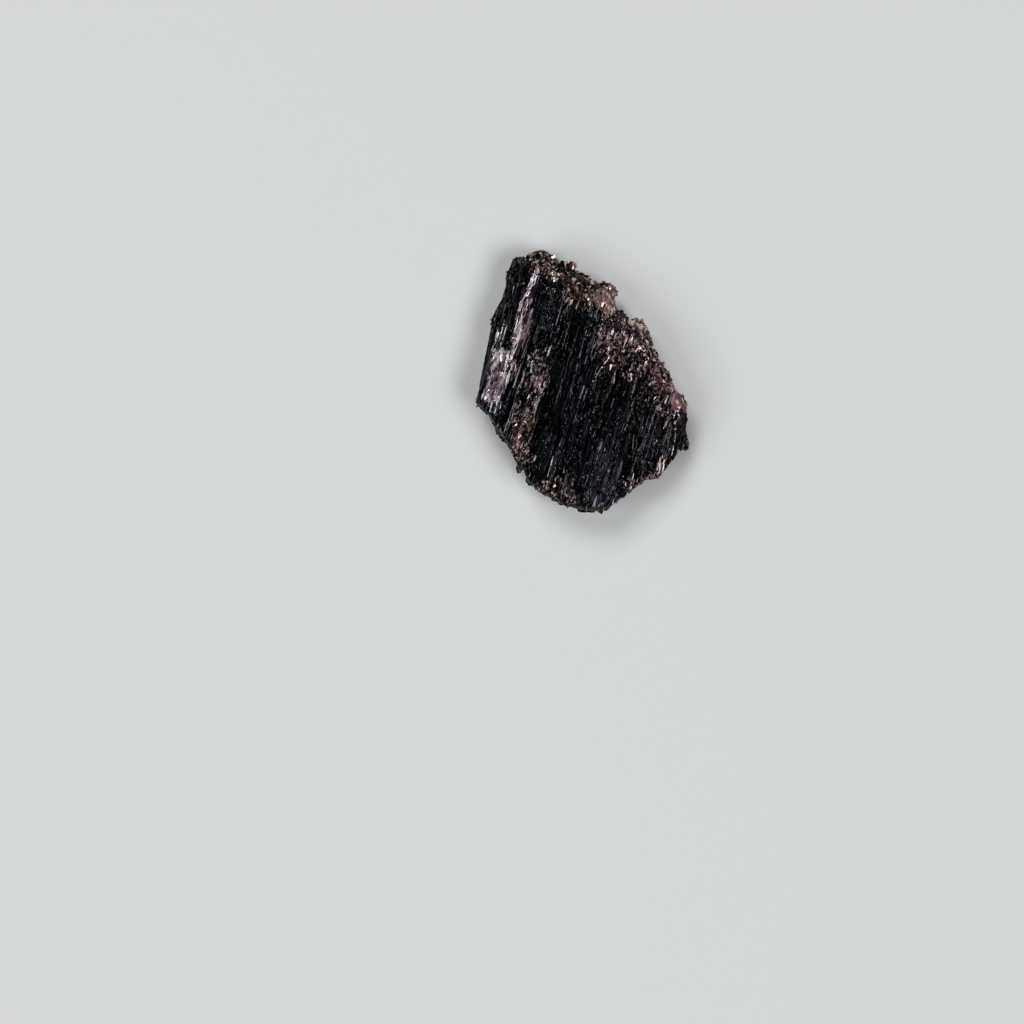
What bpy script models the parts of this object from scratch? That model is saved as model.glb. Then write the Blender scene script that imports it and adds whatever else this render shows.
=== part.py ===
"""A raw black tourmaline specimen: one broken block of crystals that grew side by side, with mica books
grown into its upper-right flank. It lies on its flat underside, and is seen from above: +X is to the
right, +Y away from the viewer, +Z up. The crystals all run along the grain, near +Y."""

import math
import random

import bmesh
import bpy
from mathutils import Matrix, Vector

MM = 0.001
NAME = "tourmaline"
SEED = 7

# Driving dimensions, in millimetres until the last step, where the mesh is scaled to metres.
THICKNESS = 16.5
GRAIN_TURN = math.radians(17.0)  # the grain leans this far from +Y towards +X

# The broken outline seen from above, clockwise from the top-left corner.
OUTLINE = [
    (-12.8, 23.8), (-11.9, 24.4), (-10.4, 24.9), (-9.6, 24.4), (-8.3, 25.0), (-6.9, 25.1), (-6.3, 24.2),
    (-5.2, 24.2), (-4.1, 23.4), (-3.1, 21.9), (-2.0, 21.4), (-1.4, 20.8), (-0.1, 20.6), (1.0, 19.9),
    (2.4, 19.5), (3.1, 18.6), (5.4, 18.7), (6.0, 17.3), (6.3, 15.8), (6.2, 14.6), (7.1, 13.4),
    (8.3, 13.8), (8.6, 12.4), (10.2, 11.8), (11.7, 11.3), (12.6, 9.9), (13.4, 8.0), (14.0, 5.9),
    (14.9, 3.8), (15.9, 2.5), (17.0, 0.6), (18.3, -1.5), (19.7, -3.0), (20.4, -4.6), (20.1, -6.1),
    (20.2, -8.6), (20.0, -9.5), (20.3, -11.0), (19.7, -12.9), (18.3, -13.7), (16.8, -14.8), (15.7, -16.5),
    (14.7, -18.2), (12.8, -18.3), (10.9, -19.0), (9.8, -20.5), (8.1, -21.7), (6.6, -23.0), (5.2, -24.3),
    (3.1, -25.0), (0.7, -24.7), (-1.2, -24.6), (-3.3, -23.7), (-5.6, -22.4), (-8.1, -21.1), (-10.0, -19.8),
    (-10.8, -18.7), (-10.4, -17.3), (-11.9, -16.1), (-13.0, -14.5), (-14.2, -12.3), (-15.4, -10.6),
    (-16.6, -9.1), (-17.2, -7.0), (-18.7, -5.5), (-20.3, -3.9), (-19.9, -1.3), (-19.0, 2.5), (-17.9, 6.1),
    (-18.0, 8.6), (-17.2, 12.0), (-15.9, 13.1), (-15.5, 15.6), (-14.6, 16.9), (-14.6, 19.8), (-14.0, 22.0),
]

# The upper face is a crown that falls away past a brow on each side, and over a band at each broken end.
# A fall is the drop for each millimetre.
CROWN_HEIGHT = THICKNESS - 0.8
LEFT_BROW, LEFT_FALL = -11.5, 0.62
RIGHT_BROW, RIGHT_FALL = 10.0, 0.50
FAR_BAND, FAR_FALL = 7.5, 0.60
NEAR_BAND, NEAR_FALL = 4.0, 0.30

# How far each broken end draws back along the grain, as (height, draw-back).
FAR_FLANK = [(0.0, 3.0), (3.5, 0.6), (6.0, 0.0), (9.0, 0.4), (12.0, 2.2), (14.5, 4.4), (16.5, 6.5)]
NEAR_FLANK = [(0.0, 3.2), (3.5, 0.8), (7.0, 0.0), (12.0, 0.3), (14.5, 0.9), (16.5, 1.8)]

SIDES = 6
SQUARENESS = 0.62  # 1 keeps a crystal's section a regular hexagon, and less fills out its corners
BREAK_STEP = 0.9  # neighbouring crystals break off up to this far behind each other

SHORTEST_HALF = 0.5  # a crystal reaches at least this far each way from its middle

# Rows of whole crystals inside the block, as (height of the middle, half height).
ROWS = [(2.1, 2.3), (5.6, 2.3), (9.2, 2.3), (12.0, 2.0)]
ROW_PACKING = 0.80  # side by side, crystals overlap to this share of their width
ROW_COVER = 0.8  # a row stays at least this far below the upper face
NARROWEST_ROW = 8.0  # a row has no crystal where the outline is shorter than this

# Tiers of crystals down each side, as (height of the middle, half height, inset, half width), and the
# lengths that each is broken into, as (from, to) along the grain.
LEFT_TIERS = [(2.4, 2.0, 1.0, 1.0), (5.0, 1.7, 0.1, 0.9), (7.2, 1.5, 0.0, 0.75), (9.2, 1.4, 0.7, 0.8),
              (11.0, 1.3, 1.9, 0.75)]
LEFT_LENGTHS = [(-8.9, 5.6), (5.9, 11.6), (12.2, 15.4), (15.2, 18.4)]
RIGHT_TIERS = [(2.2, 1.9, 1.2, 1.0), (4.8, 1.7, 0.2, 0.9), (7.0, 1.5, 0.4, 0.75), (8.7, 1.3, 1.7, 0.8)]
RIGHT_LENGTHS = [(-6.9, -2.2), (-3.4, 2.2)]

# The crystals of the upper face are of these half widths, and broken into about these lengths.
SKIN_HALF_WIDTHS = (0.55, 0.75, 0.95, 1.25, 1.55)
SKIN_LENGTHS = (6.0, 9.0, 14.0, 20.0, 28.0)
SHORTEST_SKIN = 4.0
SKIN_PACKING = 0.86

# Long smooth crystals that stand proud of the upper face, as (across, from, to, half width, how proud).
TALL_BLADES = [
    (-17.0, 9.0, 18.6, 1.10, 0.4),
    (-13.2, -8.5, 14.5, 0.75, 0.5),
    (-8.6, 4.0, 20.5, 0.80, 0.3),
    (-6.4, -19.5, -2.0, 0.70, 0.3),
    (-2.5, -21.0, 11.0, 1.25, 0.5),
    (0.2, -6.0, 13.5, 0.60, 0.4),
    (4.6, -22.5, -3.0, 1.00, 0.3),
    (8.9, -16.0, 4.0, 0.90, 0.3),
]
BLADE_HALF_HEIGHT = 2.4

# Mica books stand in lines up the far flank, each at a share of the way from its foot to its brow.
BOOK_LINES = (0.10, 0.42, 0.75)

# The core that the crystals are grown on: (height, size against the outline).
CORE = [(0.7, 0.80), (4.0, 0.90), (7.0, 0.90), (10.0, 0.80), (12.5, 0.66)]
CORE_COVER = 2.6  # the core stays at least this far below the upper face

rng = random.Random(SEED)


def along_grain(x, y):
    """A point seen from above, as (distance across the grain, distance along it)."""
    sine, cosine = math.sin(GRAIN_TURN), math.cos(GRAIN_TURN)
    return x * cosine - y * sine, x * sine + y * cosine


def between(height, table):
    """Straight-line reading of a table of (height, value) pairs."""
    if height <= table[0][0]:
        return table[0][1]
    for (low, first), (high, last) in zip(table, table[1:]):
        if height <= high:
            return first + (last - first) * (height - low) / (high - low)
    return table[-1][1]


GRAIN_OUTLINE = [along_grain(x, y) for x, y in OUTLINE]
LEFT = min(u for u, v in GRAIN_OUTLINE)
RIGHT = max(u for u, v in GRAIN_OUTLINE)


def reach(u):
    """Where the outline starts and ends along the grain, at this distance across it."""
    u = min(max(u, LEFT + 0.4), RIGHT - 0.4)
    crossings = []
    for (u0, v0), (u1, v1) in zip(GRAIN_OUTLINE, GRAIN_OUTLINE[1:] + GRAIN_OUTLINE[:1]):
        if (u0 <= u) != (u1 <= u):
            crossings.append(v0 + (v1 - v0) * (u - u0) / (u1 - u0))
    return min(crossings), max(crossings)


def far_end(u, z):
    """Where a crystal breaks off on the upper-right flank."""
    return reach(u)[1] - between(z, FAR_FLANK)


def near_end(u, z):
    """Where a crystal breaks off on the lower-left and lower-right flanks."""
    return reach(u)[0] + between(z, NEAR_FLANK)


def top_height(u, v):
    """The upper face before crystals are cut into it: a flat crown that falls away to the flanks."""
    low, high = reach(u)
    fall_left = LEFT_FALL * max(0.0, LEFT_BROW - u)
    fall_right = RIGHT_FALL * max(0.0, u - RIGHT_BROW)
    fall_far = FAR_FALL * max(0.0, v - (high - FAR_BAND))
    fall_near = NEAR_FALL * max(0.0, low + NEAR_BAND - v)
    swell = 0.35 * math.sin(0.31 * u + 0.6) + 0.30 * math.sin(0.17 * v - 0.12 * u)
    return CROWN_HEIGHT + swell - max(fall_left, fall_right) - max(fall_far, fall_near)


def crystal(bm, start, end, half_width, half_height, roll=0.0, start_break=None, end_break=None):
    """One prism along the grain, from a cone primitive. start and end are (across, along, height) of the
    ends' middles. A break gives the place along the grain where the prism ends, for each corner."""
    made = bmesh.ops.create_cone(
        bm, cap_ends=True, cap_tris=True, segments=SIDES, radius1=1.0, radius2=1.0, depth=2.0
    )
    start, end = Vector(start), Vector(end)
    slant = (rng.uniform(-0.5, 0.5), rng.uniform(-0.5, 0.5))
    uneven = [rng.uniform(0.86, 1.12) for _ in range(SIDES)]
    for vertex in made["verts"]:
        x, y, side = vertex.co
        corner = round(math.atan2(y, x) / math.tau * SIDES) % SIDES
        x = math.copysign(abs(x) ** SQUARENESS, x) * uneven[corner]
        y = math.copysign(abs(y) ** SQUARENESS, y) * uneven[corner]
        u = half_width * (x * math.cos(roll) - y * math.sin(roll))
        z = half_width * x * math.sin(roll) + half_height * y * math.cos(roll)
        at_end = side > 0
        middle = end if at_end else start
        u, z = middle.x + u, middle.z + z
        broken = end_break if at_end else start_break
        v = broken(u, z) if broken else middle.y + slant[at_end] * (z - middle.z)
        waist = (start.y + end.y) / 2
        v = max(v, waist + SHORTEST_HALF) if at_end else min(v, waist - SHORTEST_HALF)
        vertex.co = (u, v, z)


def chip(break_at, inwards):
    """The same break drawn back by a step of its own, so that neighbours don't end in line. inwards is +1
    at the near end and -1 at the far end."""
    step = inwards * rng.uniform(-0.15, BREAK_STEP)
    return lambda u, z: break_at(u, z) + step


def add_rows(bm):
    """Whole crystals inside the block. Only their broken ends show, on the flanks."""
    for height, half_height in ROWS:
        u = LEFT + 2.2 + rng.uniform(0, 1)
        while u < RIGHT - 1.2:
            half_width = rng.uniform(1.3, 2.2)
            u += half_width * ROW_PACKING
            low, high = reach(u)
            ceiling = top_height(u, (low + high) / 2) - half_height - ROW_COVER
            middle = min(height + rng.uniform(-0.5, 0.6), ceiling)
            if high - low > NARROWEST_ROW and middle > 0.5 * half_height:
                crystal(
                    bm, (u, low, middle), (u, high, middle), half_width, half_height,
                    rng.uniform(-0.4, 0.4), chip(near_end, 1), chip(far_end, -1),
                )
            u += half_width * ROW_PACKING


def add_skin(bm):
    """The crystals of the upper face, each strip broken into lengths that stand at heights of their own."""
    u = LEFT + 2.0
    while u < RIGHT - 0.8:
        half_width = rng.choice(SKIN_HALF_WIDTHS) * rng.uniform(0.9, 1.1)
        u += half_width * SKIN_PACKING
        low, high = reach(u)
        v = low
        while v < high - 1.0:
            length = rng.choice(SKIN_LENGTHS) * rng.uniform(0.8, 1.2)
            stop = min(v + length, high)
            if high - stop < SHORTEST_SKIN:
                stop = high
            lift = rng.uniform(-0.8, 0.4)
            half_height = rng.uniform(1.9, 2.5)
            drift = rng.uniform(-0.25, 0.25)
            crystal(
                bm,
                (u, v - 0.4, top_height(u, v) + lift - half_height),
                (u + drift, stop, top_height(u, stop) + lift - half_height),
                half_width,
                half_height,
                rng.uniform(-0.34, 0.34),
                chip(near_end, 1) if v == low else None,
                chip(far_end, -1) if stop == high else None,
            )
            v = stop
        u += half_width * SKIN_PACKING


def add_tall_blades(bm):
    """The long smooth crystals that stand proud of the upper face."""
    for u, start, stop, half_width, proud in TALL_BLADES:
        crystal(
            bm,
            (u, start, top_height(u, start) + proud - BLADE_HALF_HEIGHT),
            (u, stop, top_height(u, stop) + proud - BLADE_HALF_HEIGHT),
            half_width, BLADE_HALF_HEIGHT, rng.uniform(-0.15, 0.15),
        )


def side_edge(v, side):
    """The outline's left (-1) or right (+1) side, as distance across the grain, at this place along it."""
    crossings = []
    for (u0, v0), (u1, v1) in zip(GRAIN_OUTLINE, GRAIN_OUTLINE[1:] + GRAIN_OUTLINE[:1]):
        if (v0 <= v) != (v1 <= v):
            crossings.append(u0 + (u1 - u0) * (v - v0) / (v1 - v0))
    return side * max(side * u for u in crossings)


def add_side(bm, side, tiers, lengths):
    """The stacked crystals of one side. Each tier is stepped in from the outline by its inset."""
    for height, half_height, inset, half_width in tiers:
        for start, stop in lengths:
            start += rng.uniform(-0.5, 0.5)
            stop += rng.uniform(-0.2, 0.6)
            step = side * (inset + half_width + rng.uniform(-0.1, 0.35))
            lift = rng.uniform(-0.3, 0.3)
            crystal(
                bm,
                (side_edge(start, side) - step, start, height + lift),
                (side_edge(stop, side) - step, stop, height + lift + rng.uniform(0.0, 0.5)),
                half_width, half_height, rng.uniform(-0.25, 0.25),
            )


def add_sides(bm):
    add_side(bm, -1, LEFT_TIERS, LEFT_LENGTHS)
    add_side(bm, 1, RIGHT_TIERS, RIGHT_LENGTHS)


def add_mica_books(bm):
    """Short stacks of mica leaves, six-sided and tilted every way, along the upper-right flank."""
    u = LEFT + 3.0
    while u < RIGHT - 2.2:
        for share in BOOK_LINES:
            radius, leaf = rng.uniform(1.1, 2.0), rng.uniform(0.7, 1.3)
            back = 1.1 + 7.0 * share + rng.uniform(-0.5, 0.6)
            height = 5.5 + 10.0 * share + rng.uniform(-0.8, 0.4)
            place = Vector((u + rng.uniform(-0.7, 0.7), 0.0, 0.0))
            place.y = reach(place.x)[1] - back
            place.z = min(height, top_height(place.x, place.y) - 0.2)
            lean = Matrix.Rotation(rng.uniform(0.15, 0.9), 4, "X")
            turn = Matrix.Rotation(rng.uniform(0.0, math.tau), 4, "Z")
            facing = Matrix.Rotation(rng.uniform(-0.3, 1.3), 4, "Z")
            bmesh.ops.create_cone(
                bm, cap_ends=True, segments=6, radius1=radius, radius2=radius * rng.uniform(0.85, 1.0),
                depth=leaf, matrix=Matrix.Translation(place) @ facing @ lean @ turn,
            )
        u += rng.uniform(1.9, 2.7)


def add_core(bm):
    """The inside of the block: the outline lofted through a few heights, kept under the upper crystals."""
    rings = []
    for height, size in CORE:
        places = [(u * size, v * size) for u, v in GRAIN_OUTLINE[::2]]
        rings.append([bm.verts.new((u, v, min(height, top_height(u, v) - CORE_COVER))) for u, v in places])
    for lower, upper in zip(rings, rings[1:]):
        for k in range(len(lower)):
            nxt = (k + 1) % len(lower)
            bm.faces.new((lower[nxt], lower[k], upper[k], upper[nxt]))
    bm.faces.new(rings[0])
    bm.faces.new(rings[-1][::-1])


def mesh_object(name, *builders):
    """A hidden helper object that holds what the builders make, in triangles."""
    bm = bmesh.new()
    for build in builders:
        build(bm)
    bmesh.ops.recalc_face_normals(bm, faces=bm.faces)
    bmesh.ops.triangulate(bm, faces=bm.faces)
    mesh = bpy.data.meshes.new(name)
    bm.to_mesh(mesh)
    bm.free()
    return bpy.data.objects.new(name, mesh)


def keep_outer_skin(mesh):
    """Drops the surfaces of the gaps sealed inside the block, so that it is solid."""
    bm = bmesh.new()
    bm.from_mesh(mesh)
    unseen, bodies = set(bm.faces), []
    while unseen:
        body, edge = set(), {next(iter(unseen))}
        while edge:
            body |= edge
            shared = {e for face in edge for e in face.edges if e.is_manifold}
            edge = {face for e in shared for face in e.link_faces} - body
        unseen -= body
        bodies.append(body)
    largest = max(bodies, key=len)
    bmesh.ops.delete(bm, geom=[f for f in bm.faces if f not in largest], context="FACES")
    bm.to_mesh(mesh)
    bm.free()


def add_ground(bm):
    """What is cut away below the resting face."""
    width, depth = 80.0, 20.0
    place = Matrix.Translation((0.0, 0.0, -depth / 2)) @ Matrix.Diagonal((width, width, depth, 1.0))
    bmesh.ops.create_cube(bm, size=1.0, matrix=place)


def boolean(target, operation, other):
    """Adds a Boolean modifier that also sorts out crystals that overlap within one mesh."""
    modifier = target.modifiers.new(other.name, "BOOLEAN")
    modifier.operation = operation
    modifier.object = other
    modifier.use_self = operation == "UNION"


def stone_material():
    material = bpy.data.materials.new("black_tourmaline")
    material.use_nodes = True
    shader = material.node_tree.nodes["Principled BSDF"]
    shader.inputs["Base Color"].default_value = (0.014, 0.014, 0.018, 1.0)
    shader.inputs["Roughness"].default_value = 0.35
    return material


def main():
    for old in list(bpy.data.objects):
        bpy.data.objects.remove(old)
    part = bpy.data.collections.new("black_tourmaline_specimen")
    helpers = bpy.data.collections.new("helpers")
    bpy.context.scene.collection.children.link(part)
    bpy.context.scene.collection.children.link(helpers)

    core = mesh_object("core", add_core)
    crystals = mesh_object("crystals", add_rows, add_skin, add_tall_blades, add_sides, add_mica_books)
    ground = mesh_object("ground", add_ground)
    for helper in (core, crystals, ground):
        helpers.objects.link(helper)
        helper.hide_render = True
        helper.display_type = "WIRE"
    boolean(core, "UNION", crystals)
    boolean(core, "DIFFERENCE", ground)
    bpy.context.view_layer.update()
    graph = bpy.context.evaluated_depsgraph_get()
    mesh = bpy.data.meshes.new_from_object(core.evaluated_get(graph))
    keep_outer_skin(mesh)

    # From (across, along, height) in millimetres to the part's own frame in metres.
    across = Vector((math.cos(GRAIN_TURN), -math.sin(GRAIN_TURN), 0.0))
    along = Vector((math.sin(GRAIN_TURN), math.cos(GRAIN_TURN), 0.0))
    to_frame = Matrix((across, along, Vector((0, 0, 1)))).transposed().to_4x4()
    mesh.transform(Matrix.Scale(MM, 4) @ to_frame)
    xs, ys = zip(*[(v.co.x, v.co.y) for v in mesh.vertices])
    centre = Vector(((min(xs) + max(xs)) / 2, (min(ys) + max(ys)) / 2, 0.0))
    mesh.transform(Matrix.Translation(-centre))
    mesh.name = NAME
    mesh.materials.clear()
    mesh.materials.append(stone_material())
    part.objects.link(bpy.data.objects.new(NAME, mesh))


main()
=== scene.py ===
"""The looks of a raw black tourmaline specimen: a block of long black crystals that grew side by side, with
mica grown into its upper-right flank. The block itself comes from the frame. This script carves its
striations and splinters, grows the mica on it and lights it on a pale floor, seen from straight above."""

import math
from collections import namedtuple

import bpy
import numpy as np
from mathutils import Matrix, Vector
from mathutils.bvhtree import BVHTree


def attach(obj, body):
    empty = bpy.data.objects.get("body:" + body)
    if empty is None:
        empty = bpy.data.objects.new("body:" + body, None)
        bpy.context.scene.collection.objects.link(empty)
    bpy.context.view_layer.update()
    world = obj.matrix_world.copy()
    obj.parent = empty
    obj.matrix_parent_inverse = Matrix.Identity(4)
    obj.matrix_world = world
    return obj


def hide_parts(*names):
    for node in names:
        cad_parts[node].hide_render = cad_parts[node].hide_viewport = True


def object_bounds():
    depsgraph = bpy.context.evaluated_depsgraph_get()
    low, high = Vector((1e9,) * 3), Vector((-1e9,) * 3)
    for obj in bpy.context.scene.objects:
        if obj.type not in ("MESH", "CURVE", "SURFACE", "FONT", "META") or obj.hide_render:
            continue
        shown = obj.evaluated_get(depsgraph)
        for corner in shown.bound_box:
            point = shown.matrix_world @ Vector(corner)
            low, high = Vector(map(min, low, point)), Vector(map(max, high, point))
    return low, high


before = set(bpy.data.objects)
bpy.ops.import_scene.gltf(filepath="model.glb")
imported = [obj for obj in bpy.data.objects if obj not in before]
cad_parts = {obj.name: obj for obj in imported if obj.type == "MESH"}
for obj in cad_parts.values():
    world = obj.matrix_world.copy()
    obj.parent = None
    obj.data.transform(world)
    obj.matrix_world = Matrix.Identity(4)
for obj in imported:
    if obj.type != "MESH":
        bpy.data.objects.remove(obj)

CAD_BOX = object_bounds()
MM = 0.001
SEED = 11

# The photograph's frame, in its pixels, and its scale in metres.
PHOTO_MIDDLE = 512.0
STONE_MIDDLE = (583.5, 382.0)  # the stone's middle, which is the origin
PIXEL = 0.19 * MM
SCALE_HEIGHT = 7.0 * MM  # the height at which a pixel has that size
CAMERA_HEIGHT = 0.33
CAMERA = np.array(
    [
        (PHOTO_MIDDLE - STONE_MIDDLE[0]) * PIXEL,
        (STONE_MIDDLE[1] - PHOTO_MIDDLE) * PIXEL,
        CAMERA_HEIGHT,
    ]
)

# The crystals run along the grain, which leans from +Y towards +X.
GRAIN_TURN = math.radians(17.0)
ACROSS = np.array([math.cos(GRAIN_TURN), -math.sin(GRAIN_TURN), 0.0])
ALONG = np.array([math.sin(GRAIN_TURN), math.cos(GRAIN_TURN), 0.0])
UP = np.array([0.0, 0.0, 1.0])
GRAIN = np.stack([ACROSS, ALONG, UP], axis=1)

STAND_PROUD = np.array([0.9, 0.9, 0.35]) * MM  # how far small forms may stand out of the stone's box
VOXEL = 0.16 * MM
SKIN_DEPTH = 0.13  # how far the carved skin lies under the crystals set in it, in millimetres
CRUST_RELIEF = 0.6  # how lumpy the mica is, in millimetres
SMOOTH_TILT = 15.0  # mica that tilts less than this lies smooth
SKIN_TRIANGLES = 190000


# Noise, the same each run

def hashed(cell, seed):
    """A number from 0 to 1 for each whole-number cell."""
    x, y, z = (cell[..., k].astype(np.int64) for k in range(3))
    n = (x * 374761393 + y * 668265263 + z * 1440662683 + seed * 1274126177) & 0xFFFFFFFF
    n = ((n ^ (n >> 13)) * 1274126177) & 0xFFFFFFFF
    n = ((n ^ (n >> 15)) * 668265263) & 0xFFFFFFFF
    return (n ^ (n >> 16)) / 0xFFFFFFFF


def smooth_noise(points, seed):
    """Smooth noise from 0 to 1 with lumps one unit across."""
    base = np.floor(points)
    part = points - base
    part = part * part * (3.0 - 2.0 * part)
    total = np.zeros(len(points))
    for corner in np.ndindex(2, 2, 2):
        corner = np.array(corner)
        weight = np.prod(np.where(corner == 1, part, 1.0 - part), axis=1)
        total += weight * hashed(base + corner, seed)
    return total


def rough_noise(points, seed, octaves=3):
    """Smooth noise with finer and weaker lumps on it, from 0 to 1."""
    total = np.zeros(len(points))
    weight_sum = 0.0
    for k in range(octaves):
        total += smooth_noise(points * 2.0 ** k, seed + k) / 2.0 ** k
        weight_sum += 1.0 / 2.0 ** k
    return total / weight_sum


def cell_noise(points, seed):
    """For each point: how far it is from its cell's edge, the cell's number from 0 to 1, and the way to the
    point from the cell's middle."""
    base = np.floor(points)
    nearest = np.full(len(points), 9.0)
    second = np.full(len(points), 9.0)
    number = np.zeros(len(points))
    way = np.zeros_like(points)
    for step in np.ndindex(3, 3, 3):
        cell = base + np.array(step) - 1.0
        middle = cell + np.stack([hashed(cell, seed + k) for k in range(3)], axis=1)
        away = np.linalg.norm(points - middle, axis=1)
        closer = away < nearest
        second = np.where(closer, nearest, np.minimum(second, away))
        number = np.where(closer, hashed(cell, seed + 3), number)
        way = np.where(closer[:, None], points - middle, way)
        nearest = np.where(closer, away, nearest)
    return second - nearest, number, way


def ease(value, low, high):
    """0 below low, 1 above high and smooth between."""
    t = np.clip((value - low) / (high - low), 0.0, 1.0)
    return t * t * (3.0 - 2.0 * t)


# Places in the photograph

def to_pixels(points):
    """Where the camera sees these points, in the photograph's pixels."""
    reach = (CAMERA_HEIGHT - SCALE_HEIGHT) / (CAMERA_HEIGHT - points[:, 2])
    x = (points[:, 0] - CAMERA[0]) * reach / PIXEL + PHOTO_MIDDLE
    y = PHOTO_MIDDLE - (points[:, 1] - CAMERA[1]) * reach / PIXEL
    return np.stack([x, y], axis=1)


def seen_from_above(facing):
    """1 on faces that the photograph shows and 0 on those that face down."""
    return ease(facing[:, 2], -0.1, 0.2)


def inside(pixels, outline):
    """How far inside an outline each pixel lies, and less than 0 outside."""
    outline = np.array(outline, float)
    nearest = np.full(len(pixels), 1e9)
    within = np.zeros(len(pixels), bool)
    for start, end in zip(outline, np.roll(outline, -1, axis=0)):
        edge = end - start
        t = np.clip(((pixels - start) @ edge) / (edge @ edge), 0.0, 1.0)
        nearest = np.minimum(nearest, np.linalg.norm(pixels - start - t[:, None] * edge, axis=1))
        crosses = (start[1] > pixels[:, 1]) != (end[1] > pixels[:, 1])
        slope = edge[0] / edge[1] if edge[1] else 0.0
        within ^= crosses & (pixels[:, 0] < start[0] + (pixels[:, 1] - start[1]) * slope)
    return np.where(within, nearest, -nearest)


# Colours of mica and of the coats on the crystals, as reflectances.
# WHITE is lighter than white mica reflects: partly a painted highlight.
WHITE = (0.91, 0.86, 0.86)
CREAM = (0.88, 0.72, 0.57)
PALE_PINK = (0.84, 0.64, 0.65)
PINK = (0.54, 0.355, 0.368)
ROSE = (0.33, 0.195, 0.202)
BROWN = (0.090, 0.053, 0.055)
WINE = (0.120, 0.048, 0.052)
DARK_BROWN = (0.016, 0.010, 0.010)
TAN = (0.18, 0.116, 0.090)
WARM = (0.34, 0.22, 0.18)
GOLD = (0.42, 0.25, 0.14)
MAUVE = (0.17, 0.125, 0.156)
LILAC = (0.34, 0.265, 0.32)
PALE_LILAC = (0.71, 0.605, 0.685)
BLACK = (0.0004, 0.0004, 0.0006)
BLUE_BLACK = (0.0012, 0.0018, 0.0046)
# A blue-grey painted sheen for the black crystals.
PAINTED_SHEEN_BLUE = (0.140, 0.148, 0.208)
# The colour of a painted sheen line on the black crystals.
SHEEN_SLATE = (0.140, 0.148, 0.190)
# The colour of painted glints on the black crystals.
GLINT_BLUE = (0.28, 0.30, 0.35)

Area = namedtuple("Area", "outline colours sizes tilt cover laths")

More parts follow.
